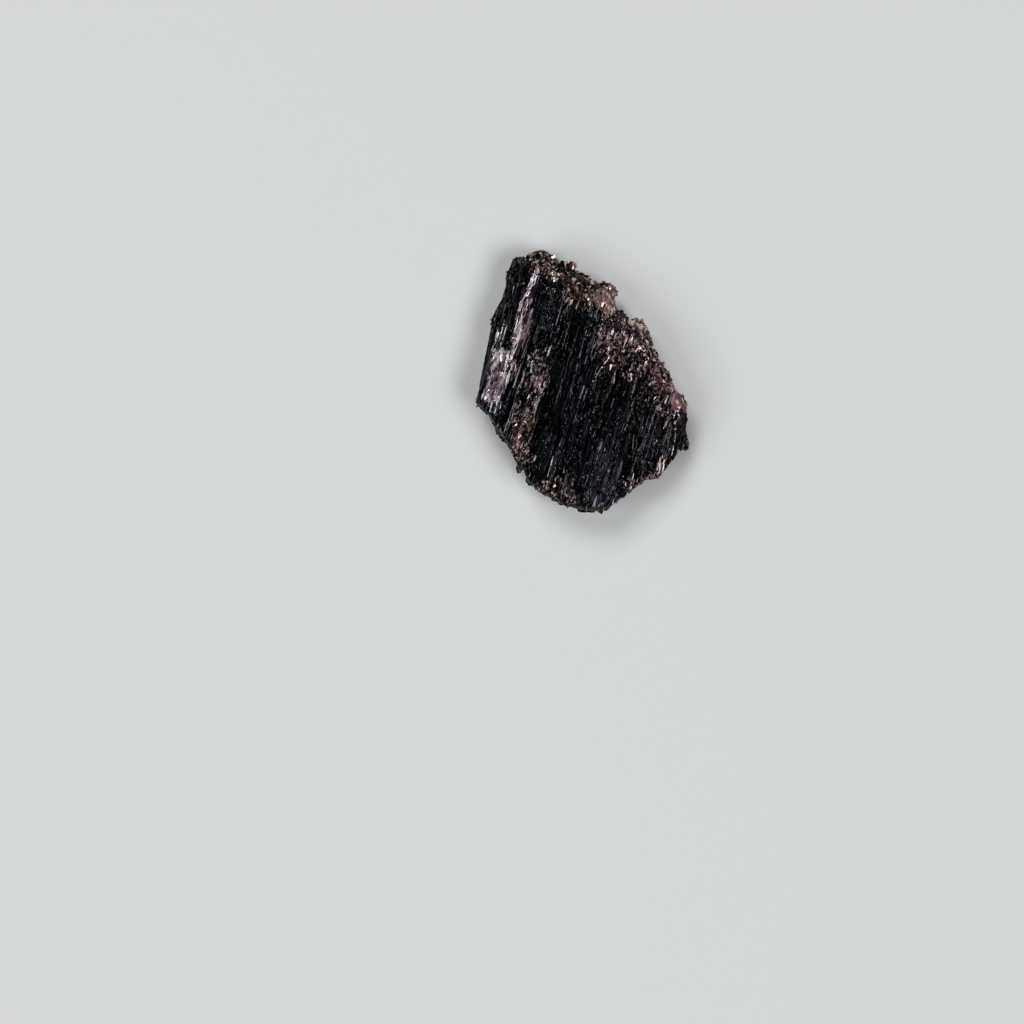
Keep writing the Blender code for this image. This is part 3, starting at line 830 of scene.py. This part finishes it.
def laths(random, surface, middles, facing, tilt, size, tints):
    """Splinters of coated crystal along the grain: corners and tints."""
    count = len(middles)
    guide = unit(np.cross(facing, random.standard_normal((count, 3))))
    upwards = turned(facing, guide, np.radians(tilt) * random.standard_normal(count))
    lengthways = unit(ALONG - upwards * (upwards @ ALONG)[:, None])
    lengthways = turned(lengthways, upwards, 0.10 * random.standard_normal(count))
    half_height = random.uniform(*LATH_HALF_HEIGHT, count) * MM
    sunk = middles - facing * (0.6 * half_height)[:, None]
    half_length = surface.trimmed(sunk, lengthways, size * random.uniform(*LATH_LENGTH, count))
    corners = blocks(random, sunk, lengthways, upwards, half_length, 0.6 * size, half_height, 0.5)
    return corners, tints * random.uniform(*PIECE_SHADES, (count, 1))


def clump_tints(points, colours, random):
    """Colours in clumps from dark to light, with some pieces darker or lighter than their clump."""
    number = clumps(points) + TINT_SPREAD * random.standard_normal(len(points))
    ordered = np.array(sorted(colours, key=sum))
    picked = np.clip((number * len(ordered)).astype(int), 0, len(ordered) - 1)
    return ordered[picked]


PIECE_AREA = 2.6  # against the square of a piece's half size
CREVICE_BARE = 0.85  # how much mica a crevice lacks


def mica_pieces(surface, random, material):
    """The mica and coats that the photograph shows, area by area."""
    leaves, splinters = [], []
    for area in MICA_AREAS.values():
        least, most = area.sizes
        mean = least + (most - least) / 3.0
        share = ease(inside(surface.pixels, area.outline) + surface.ragged, -1.5, 1.5)
        share = seen_from_above(surface.facing) * share * (1.0 - in_hole(surface.pixels))
        if area.tilt > SMOOTH_TILT:
            share = share * (1.0 - CREVICE_BARE * surface.crevice)
        covered = (surface.areas * share).sum() / MM ** 2
        count = int(area.cover * covered / (PIECE_AREA * mean ** 2))
        middles = surface.scatter(random, count, share)
        tints = clump_tints(middles, area.colours[1:], random)
        facing = surface.crystal_faces(middles)
        size = mostly_small(random, area.sizes, count)
        lath = random.random(count) < area.laths
        leaf = ~lath
        leaves.append(books(random, middles[leaf], facing[leaf], area.tilt, size[leaf], tints[leaf]))
        splinters.append(
            laths(random, surface, middles[lath], facing[lath], area.tilt, size[lath], tints[lath])
        )
    for name, faces, made in (("mica_leaves", FLAKE_FACES, leaves), ("mica_laths", BLOCK_FACES, splinters)):
        corners, tints = (np.concatenate(parts) for parts in zip(*made))
        joined_forms(name, corners, faces, tints, random.random(len(corners)), material)


HIDDEN_BOOKS = 4400
HIDDEN_LEAF = (0.14, 0.54)  # their half sizes in millimetres
HIDDEN_TILT = 22.0
HIDDEN_COLOURS = (ROSE, PINK, BROWN, BROWN, DARK_BROWN, PALE_PINK)


def hidden_books(surface, random, material):
    """Mica on the flanks and the underside, where the photograph doesn't reach."""
    far = ease(surface.facing @ FAR_SIDE, 0.2, 0.4)
    turned_down = 0.3 * (1.0 - far)  # off the far flank, only faces that look further down have mica
    below = 1.0 - ease(surface.facing[:, 2], -0.1 - turned_down, 0.2 - turned_down)
    share = below * ease(hidden_mica(surface.middles), 0.3, 0.7)
    middles = surface.scatter(random, HIDDEN_BOOKS, share)
    radius = mostly_small(random, HIDDEN_LEAF, HIDDEN_BOOKS)
    tints = clump_tints(middles, HIDDEN_COLOURS, random)
    corners, tints = books(random, middles, surface.crystal_faces(middles), HIDDEN_TILT, radius, tints)
    gloss = random.random(len(corners))
    joined_forms("mica_underneath", corners, FLAKE_FACES, tints, gloss, material)


# Pale crystals and patches that stand out in the photograph, some of them painted glints, highlights and
# sheen: their pixels from end to end, their half width in millimetres and their colour.
STREAKS = {
    "upper_blade": ([(536, 271), (532, 284), (525, 296)], 0.66, PALE_LILAC),
    "strip_head": ([(523, 299), (521, 304), (519, 311)], 0.42, PALE_LILAC),
    "strip_neck": ([(523, 310), (522, 317), (521, 324)], 0.24, PALE_PINK),
    "strip_left": ([(518, 315), (517, 323), (515, 331)], 0.26, WHITE),
    "strip_left_foot": ([(515, 330), (513, 336), (511, 341)], 0.28, PALE_PINK),
    "long_blade": ([(522, 323), (518, 338), (511, 359)], 0.42, WHITE),
    "thin_line_left": ([(504, 321), (502, 331), (499, 341)], 0.16, WHITE),
    "thin_line_right": ([(506, 328), (503, 338), (500, 347)], 0.17, WHITE),
    "left_blade": ([(499, 329), (496, 340), (492, 350)], 0.30, WHITE),
    "lilac_head": ([(495, 352), (494, 359)], 0.40, PALE_LILAC),
    "lilac_shoulder": ([(508, 353), (507, 361)], 0.34, PALE_PINK),
    "lilac_foot_edge": ([(487, 399), (492, 402), (498, 399)], 0.34, PALE_LILAC),
    "lilac_crest": ([(503, 352), (502, 356), (501, 361)], 0.30, WHITE),
    "lilac_blob": ([(510, 371), (508, 378), (506, 386)], 0.36, WHITE),
    "first_tooth": ([(484, 391), (482, 398)], 0.24, WHITE),
    "second_tooth": ([(488, 391), (487, 396)], 0.20, PALE_LILAC),
    "third_tooth": ([(492, 403), (490, 411)], 0.26, WHITE),
    "fourth_tooth": ([(497, 402), (495, 412)], 0.26, WHITE),
    "fifth_tooth": ([(501, 401), (500, 409)], 0.22, PALE_LILAC),
    # Painted sheen: a bluish bright line on the black crystals.
    "blue_sheen_line": ([(586, 332), (578, 362), (570, 396)], 0.17, SHEEN_SLATE),
    "plate_first_line": ([(600, 296), (605, 303), (610, 310)], 0.22, PALE_PINK),
    "plate_second_line": ([(606, 296), (611, 302), (615, 308)], 0.20, PINK),
    "flank_crust_first": ([(617, 330), (615, 337)], 0.26, PALE_PINK),
    "flank_crust_second": ([(633, 336), (631, 343)], 0.30, PALE_PINK),
    "flank_crust_third": ([(646, 342), (644, 350)], 0.30, PINK),
    "flank_head": ([(613, 330), (611, 338)], 0.26, WHITE),
    "flank_middle": ([(627, 338), (624, 346)], 0.30, PALE_PINK),
    "flank_pale": ([(640, 345), (636, 352)], 0.34, PALE_PINK),
    "flank_low_blade": ([(645, 364), (641, 372)], 0.22, PALE_PINK),
    "flank_blade": ([(610, 343), (608, 350), (609, 358)], 0.30, PALE_PINK),
    "flank_diagonal": ([(610, 356), (600, 370), (590, 386)], 0.16, PALE_PINK),
    "flank_drop": ([(612, 362), (610, 370)], 0.28, PALE_PINK),
    "middle_patch": ([(588, 388), (585, 395), (583, 402)], 0.20, PINK),
    "band_head": ([(551, 346), (548, 353), (545, 359)], 0.28, PALE_LILAC),
    "band_cream": ([(537, 356), (533, 364), (530, 373)], 0.48, CREAM),
    "band_left_line": ([(541, 383), (538, 390)], 0.18, WHITE),
    "band_right_line": ([(545, 381), (542, 387), (540, 393)], 0.16, PALE_PINK),
    "band_spot": ([(529, 395), (528, 401)], 0.26, CREAM),
    "band_blob": ([(539, 399), (535, 408), (531, 416)], 0.46, PALE_LILAC),
    "gold_line": ([(530, 422), (531, 433), (528, 447)], 0.14, GOLD),
    "white_oval": ([(526, 434), (523, 440), (521, 446)], 0.36, WHITE),
    "foot_spot": ([(524, 450), (520, 457)], 0.24, CREAM),
    "lower_line": ([(553, 457), (550, 468), (546, 482)], 0.11, PALE_LILAC),
    "cream_bar": ([(615, 375), (614, 384)], 0.22, CREAM),
    # Painted glints: pale blue slivers where the black crystals glint.
    "blue_glint": ([(634, 436), (633, 446)], 0.20, GLINT_BLUE),
    "upper_blue_glint": ([(629, 414), (627, 428)], 0.12, GLINT_BLUE),
    "crest_triangle": ([(638, 319), (635, 325), (632, 331)], 0.50, WHITE),
    "crest_cream": ([(650, 322), (646, 325), (642, 329)], 0.36, CREAM),
    "crest_tan": ([(650, 331), (653, 338), (655, 347)], 0.40, PALE_PINK),
    # A painted highlight along the facet's ridge.
    "facet_ridge_highlight": ([(676, 387), (680, 394), (684, 403)], 0.11, CREAM),
    # A painted glint.
    "flank_glint": ([(669, 393), (667, 398), (665, 403)], 0.20, WHITE),
    "right_pink": ([(669, 416), (667, 421), (664, 427)], 0.40, PINK),
    # A painted glint.
    "right_white_glint": ([(675, 412), (674, 416), (673, 420)], 0.34, WHITE),
    "far_right_pink": ([(688, 419), (686, 427)], 0.34, PINK),
    "right_cream_edge": ([(686, 431), (688, 437), (686, 445)], 0.15, CREAM),
    "right_line": ([(676, 429), (674, 444), (671, 459)], 0.11, PALE_PINK),
    "foot_pink": ([(660, 460), (659, 468), (657, 475)], 0.42, PALE_PINK),
    "foot_white": ([(664, 465), (662, 474)], 0.28, WHITE),
    "lower_cream": ([(633, 475), (632, 482), (631, 488)], 0.28, WHITE),
    "lower_cream_edge": ([(637, 482), (634, 490)], 0.20, CREAM),
    # The three white grains are painted glints on the crust.
    "top_first_glint": ([(533, 262), (536, 260), (539, 262)], 0.42, WHITE),
    "top_second_glint": ([(551, 263), (553, 260), (555, 262)], 0.42, WHITE),
    "top_third_glint": ([(553, 273), (556, 271), (558, 268)], 0.38, WHITE),
    "top_cream_grain": ([(541, 272), (544, 266), (546, 262)], 0.32, CREAM),
    "crust_first_sliver": ([(570, 304), (572, 299), (573, 294)], 0.24, CREAM),
    "crust_second_sliver": ([(577, 306), (579, 300), (581, 295)], 0.20, CREAM),
    "plate_edge": ([(600, 287), (606, 286), (611, 286)], 0.30, CREAM),
    "plate_gap": ([(604, 291), (608, 291), (612, 292)], 0.34, BLACK),
}
SLIVER_LENGTHS = (0.20, 0.75)  # half lengths of the slivers that make up a streak, in millimetres
SLIVER_WIDTH = 0.11  # their widest half width
SLIVER_HEIGHTS = (0.12, 0.20)  # their half heights
SLIVER_LEVELS = (0.08, 0.20)  # how far they stand above the crystal faces
SLIVER_CROWD = 2.8  # how many deep they lie
SLIVER_SHADES = (0.8, 1.35)  # how bright they are against the streak's colour; the top of the range is partly painted highlight
# The cap on a sliver's colour is lighter than pale mica reflects: partly a painted highlight.
BRIGHTEST = 0.92


def on_line(line, along, at):
    """The pixels at these distances along a line of pixels."""
    return np.stack([np.interp(at, along, line[:, k]) for k in range(2)], axis=1)


def slivers(random, line, half_width):
    """Places, headings and half widths of the slivers along a line of pixels."""
    line = np.array(line, float)
    along = np.concatenate([[0.0], np.cumsum(np.linalg.norm(np.diff(line, axis=0), axis=1))])
    width = min(SLIVER_WIDTH, half_width)
    area = along[-1] * PIXEL / MM * half_width / (sum(SLIVER_LENGTHS) * width)
    at = random.uniform(0.0, along[-1], max(3, int(SLIVER_CROWD * area)))
    spot = on_line(line, along, at)
    heading = unit(on_line(line, along, at + 2) - on_line(line, along, at - 2))
    taper = np.sqrt(1.0 - (2.0 * at / along[-1] - 1.0) ** 2)
    aside = random.uniform(-1.0, 1.0, len(at)) * (half_width - width) * taper * MM / PIXEL
    spot += np.stack([-heading[:, 1], heading[:, 0]], axis=1) * aside[:, None]
    heading = np.stack([heading[:, 0], -heading[:, 1], np.zeros(len(at))], axis=1)
    return spot, heading, width * random.uniform(0.5, 1.0, len(at)) * MM


def streaks(surface, random, material):
    """Pale slivers where the photograph shows pale streaks."""
    found = []
    for line, half_width, tint in STREAKS.values():
        for spot, heading, width in zip(*slivers(random, line, half_width)):
            place = surface.under_pixel(*spot)
            if place is not None:
                shade = random.uniform(*SLIVER_SHADES)
                found.append((place, heading, width, np.minimum(np.array(tint) * shade, BRIGHTEST)))
    middles, headings, widths, tints = (np.array(part) for part in zip(*found))
    count = len(middles)
    outwards = unit(surface.crystal_faces(middles) + UP)
    lengthways = unit(headings - outwards * (headings * outwards).sum(axis=1)[:, None])
    upwards = turned(outwards, lengthways, 0.2 * random.standard_normal(count))
    half_height = random.uniform(*SLIVER_HEIGHTS, count) * MM
    sunk = middles + outwards * (random.uniform(*SLIVER_LEVELS, count) * MM - half_height)[:, None]
    half_length = surface.trimmed(sunk, lengthways, random.uniform(*SLIVER_LENGTHS, count) * MM)
    corners = blocks(random, sunk, lengthways, upwards, half_length, widths, half_height, 0.4)
    joined_forms("pale_streaks", corners, BLOCK_FACES, tints, random.random(count), material)


# Pointed crystals on the outline: the pixels of the root and of the tip, the half width and the colour.
TEETH = {
    "spike": ((620, 325), (626, 309), 0.60, BROWN),
    "spike_foot": ((613, 320), (618, 311), 0.40, DARK_BROWN),
    "top_point": ((561, 268), (563, 258), 0.45, DARK_BROWN),
    "crust_point": ((581, 284), (585, 275), 0.50, BROWN),
    "flank_point": ((662, 368), (664, 360), 0.40, ROSE),
}
TOOTH_FALL = 0.6  # how far a tooth falls towards its tip, for its length seen from above
TOOTH_HALF_LENGTH = 0.7  # against that length
TOOTH_SHIFT = 0.3  # how far its middle lies past the root, against its half length


def teeth(surface, random, material):
    starts, tips, widths, tints = zip(*TEETH.values())
    roots = np.array([surface.under_pixel(*start) for start in starts])
    ways = np.array([(tip[0] - start[0], start[1] - tip[1], 0.0) for start, tip in zip(starts, tips)])
    ways *= PIXEL
    reach = np.linalg.norm(ways, axis=1)
    lengthways = unit(ways - TOOTH_FALL * reach[:, None] * UP)
    upwards = unit(UP - lengthways * (lengthways @ UP)[:, None])
    half_length = TOOTH_HALF_LENGTH * reach
    half_width = np.array(widths) * MM
    middles = roots + lengthways * (TOOTH_SHIFT * half_length)[:, None] - UP * half_width[:, None]
    corners = blocks(random, middles, lengthways, upwards, half_length, half_width, half_width, 0.4)
    gloss = random.random(len(TEETH))
    joined_forms("teeth", corners, BLOCK_FACES, np.array(tints), gloss, material)


# Materials

def new_material(name):
    material = bpy.data.materials.new(name)
    material.use_nodes = True
    tree = material.node_tree
    return material, tree, tree.nodes["Principled BSDF"]


def grain_places(tree, stretch):
    """Places on the stone in millimetres, turned so that Y runs along the grain, and stretched."""
    place = tree.nodes.new("ShaderNodeTexCoord")
    turn = tree.nodes.new("ShaderNodeMapping")
    turn.inputs["Rotation"].default_value = (0.0, 0.0, GRAIN_TURN)
    turn.inputs["Scale"].default_value = [1.0 / (MM * size) for size in stretch]
    turn.vector_type = "POINT"
    tree.links.new(place.outputs["Object"], turn.inputs["Vector"])
    return turn.outputs["Vector"]


def noise(tree, vector, scale, detail=3.0, roughness=0.6):
    node = tree.nodes.new("ShaderNodeTexNoise")
    node.inputs["Scale"].default_value = scale
    node.inputs["Detail"].default_value = detail
    node.inputs["Roughness"].default_value = roughness
    tree.links.new(vector, node.inputs["Vector"])
    return node.outputs["Fac"]


def ramp(tree, value, stops):
    node = tree.nodes.new("ShaderNodeValToRGB")
    while len(node.color_ramp.elements) < len(stops):
        node.color_ramp.elements.new(0.5)
    for element, (place, colour) in zip(node.color_ramp.elements, stops):
        element.position = place
        element.color = (*colour, 1.0)
    tree.links.new(value, node.inputs["Fac"])
    return node.outputs["Color"]


def span(tree, value, low, high, new_low, new_high):
    node = tree.nodes.new("ShaderNodeMapRange")
    for name, number in zip(("From Min", "From Max", "To Min", "To Max"), (low, high, new_low, new_high)):
        node.inputs[name].default_value = number
    tree.links.new(value, node.inputs["Value"])
    return node.outputs["Result"]


def attribute(tree, name, output="Color"):
    node = tree.nodes.new("ShaderNodeAttribute")
    node.attribute_name = name
    return node.outputs[output]


FIRST_COLOUR, SECOND_COLOUR, RESULT = 6, 7, 2  # a Mix node's sockets for colours


def mixed(tree, first, second, blend="MIX"):
    """A Mix node for two colours, all of the second one unless its factor is linked."""
    node = tree.nodes.new("ShaderNodeMix")
    node.data_type = "RGBA"
    node.blend_type = blend
    node.inputs["Factor"].default_value = 1.0
    tree.links.new(first, node.inputs[FIRST_COLOUR])
    tree.links.new(second, node.inputs[SECOND_COLOUR])
    return node


def bump(tree, shader, height, strength):
    node = tree.nodes.new("ShaderNodeBump")
    node.inputs["Strength"].default_value = strength
    node.inputs["Distance"].default_value = 0.05 * MM
    tree.links.new(height, node.inputs["Height"])
    tree.links.new(node.outputs["Normal"], shader.inputs["Normal"])


def stone_material():
    """Black crystal with fine striations, and dull pink-brown mica where the surface says so."""
    material, tree, shader = new_material("black_tourmaline")
    striations = noise(tree, grain_places(tree, (0.22, 8.0, 0.22)), 1.0, 2.0, 0.5)
    clouds = noise(tree, grain_places(tree, (1.6, 9.0, 1.6)), 1.0, 3.0)
    black = ramp(tree, clouds, [(0.35, (0.0006, 0.0006, 0.0008)), (0.62, (0.0012, 0.0012, 0.0020)),
                                (0.75, (0.004, 0.004, 0.007))])
    lumps = noise(tree, grain_places(tree, (0.6, 0.9, 0.6)), 1.0, 4.0, 0.7)
    shade = ramp(tree, lumps, [(0.32, (0.18, 0.16, 0.16)), (0.62, (1.25, 1.25, 1.25))])
    ground = mixed(tree, attribute(tree, "tint"), shade, "MULTIPLY")
    both = mixed(tree, black, ground.outputs[RESULT])
    tree.links.new(attribute(tree, "mica", "Fac"), both.inputs["Factor"])
    tree.links.new(both.outputs[RESULT], shader.inputs["Base Color"])
    tree.links.new(span(tree, striations, 0.35, 0.70, 0.08, 0.14), shader.inputs["Roughness"])
    bump(tree, shader, striations, 0.35)
    shader.inputs["Specular IOR Level"].default_value = 0.25
    return material


def shard_material():
    """Glassy black crystal, each shard with a tint and a gloss of its own."""
    material, tree, shader = new_material("black_shards")
    tree.links.new(attribute(tree, "tint"), shader.inputs["Base Color"])
    haze = noise(tree, grain_places(tree, (0.20, 2.0, 0.20)), 1.0, 3.0)
    add = tree.nodes.new("ShaderNodeMath")
    add.operation = "ADD"
    gloss = attribute(tree, "gloss", "Fac")
    tree.links.new(span(tree, gloss, 0.0, 1.0, 0.03, 0.10), add.inputs[0])
    tree.links.new(span(tree, haze, 0.4, 0.7, 0.0, 0.06), add.inputs[1])
    tree.links.new(add.outputs["Value"], shader.inputs["Roughness"])
    bump(tree, shader, noise(tree, grain_places(tree, (0.30, 0.70, 0.30)), 1.0, 3.0), 0.25)
    shader.inputs["Specular IOR Level"].default_value = 0.5
    return material


def mica_material():
    """Mica leaves with a pearly face, stained unevenly."""
    material, tree, shader = new_material("mica")
    stains = noise(tree, grain_places(tree, (0.35, 0.5, 0.35)), 1.0, 4.0, 0.7)
    shade = ramp(tree, stains, [(0.34, (0.68, 0.65, 0.65)), (0.60, (1.0, 1.0, 1.0))])
    stained = mixed(tree, attribute(tree, "tint"), shade, "MULTIPLY")
    tree.links.new(stained.outputs[RESULT], shader.inputs["Base Color"])
    gloss = attribute(tree, "gloss", "Fac")
    tree.links.new(span(tree, gloss, 0.0, 1.0, 0.12, 0.32), shader.inputs["Roughness"])
    shader.inputs["Metallic"].default_value = 0.25
    shader.inputs["Specular IOR Level"].default_value = 0.3
    return material


# The studio

FLOOR_SIZE = 3.0
FLOOR_COLOUR = (0.760, 0.765, 0.760, 1.0)
LIGHT_DISTANCE = 2.4
LIGHT_COLOUR = (0.98, 0.985, 1.0)

# The azimuth and elevation of each light in degrees, its side in metres and its power in watts. Azimuth 0 is
# to the right and 90 is the top of the photograph.
LIGHTS = {
    "key": (-35.0, 62.0, 0.91, 25.5),
    "fill": (125.0, 62.0, 0.91, 21.0),
    "side": (205.0, 50.0, 1.33, 20.0),
}
ROOM_COLOUR = (0.95, 0.97, 1.0, 1.0)
ROOM_STRENGTH = 0.012
BACKDROP_COLOUR = (0.56, 0.58, 0.58, 1.0)  # what the camera sees past the floor
VIEW_GAMMA = 0.88  # deepens the blacks as the photograph does


def floor():
    bpy.ops.mesh.primitive_plane_add(size=FLOOR_SIZE, location=(CAMERA[0], CAMERA[1], 0.0))
    piece = bpy.context.object
    piece.name = "floor"
    material, tree, shader = new_material("pale_floor")
    shader.inputs["Base Color"].default_value = FLOOR_COLOUR
    shader.inputs["Roughness"].default_value = 0.9
    shader.inputs["Specular IOR Level"].default_value = 0.1
    piece.data.materials.append(material)


def soft_light(name, azimuth, elevation, size, power):
    """A square soft light that faces the stone."""
    light = bpy.data.lights.new(name, "AREA")
    light.size = size
    light.energy = power
    light.color = LIGHT_COLOUR
    turn, rise = math.radians(azimuth), math.radians(elevation)
    place = Vector((math.cos(turn) * math.cos(rise), math.sin(turn) * math.cos(rise), math.sin(rise)))
    lamp = bpy.data.objects.new(name, light)
    lamp.location = place * LIGHT_DISTANCE
    lamp.rotation_euler = place.to_track_quat("Z", "Y").to_euler()
    bpy.context.scene.collection.objects.link(lamp)


def studio():
    floor()
    for name, settings in LIGHTS.items():
        soft_light(name, *settings)
    world = bpy.data.worlds.new("studio")
    world.use_nodes = True
    tree = world.node_tree
    room = tree.nodes["Background"]
    room.inputs["Color"].default_value = ROOM_COLOUR
    room.inputs["Strength"].default_value = ROOM_STRENGTH
    backdrop = tree.nodes.new("ShaderNodeBackground")
    backdrop.inputs["Color"].default_value = BACKDROP_COLOUR
    seen = tree.nodes.new("ShaderNodeLightPath")
    mix = tree.nodes.new("ShaderNodeMixShader")
    tree.links.new(seen.outputs["Is Camera Ray"], mix.inputs["Fac"])
    tree.links.new(room.outputs["Background"], mix.inputs[1])
    tree.links.new(backdrop.outputs["Background"], mix.inputs[2])
    tree.links.new(mix.outputs["Shader"], tree.nodes["World Output"].inputs["Surface"])
    bpy.context.scene.world = world
    view = bpy.context.scene.view_settings
    view.view_transform = "Standard"
    view.gamma = VIEW_GAMMA


def camera():
    """Straight above the middle of the photograph, at its scale."""
    data = bpy.data.cameras.new("camera")
    photo_width = 2.0 * PHOTO_MIDDLE * PIXEL
    data.lens = data.sensor_width * (CAMERA_HEIGHT - SCALE_HEIGHT) / photo_width
    data.clip_start = 0.01
    eye = bpy.data.objects.new("camera", data)
    eye.location = CAMERA
    bpy.context.scene.collection.objects.link(eye)
    bpy.context.scene.camera = eye


def grow(surface):
    """Sets the crystals and the mica in the carved stone."""
    random = np.random.default_rng(SEED)
    glassy, pearly = shard_material(), mica_material()
    upward = ease(surface.facing[:, 2], 0.0, 0.3)
    groove = in_areas(surface.pixels, [GROOVE], 0.3 * surface.ragged) * upward
    bare = (1.0 - 0.93 * surface.mica) * (1.0 - 0.95 * groove)
    lengthways = 1.0 - ease(np.abs(surface.facing @ ALONG), 0.55, 0.85)
    sides = bare * lengthways
    grainy = surface.grainy * upward
    lively = surface.lively
    crystals("flat_crystals", surface, random, FLAT_CRYSTALS, sides * (1.0 - 0.7 * grainy), glassy)
    crystals("ridges", surface, random, RIDGES, sides * (0.3 + upward * lively), glassy)
    crystals("lines", surface, random, LINES, sides * (0.3 + upward), glassy)
    crystals("grains", surface, random, GRAINS, sides * (0.10 + grainy * lively), glassy)
    broken_ends(surface, random, bare * (1.0 - lengthways), glassy)
    mica_pieces(surface, random, pearly)
    hidden_books(surface, random, pearly)
    teeth(surface, random, pearly)
    streaks(surface, random, pearly)


camera()
studio()
grow(Surface(stone_skin()))
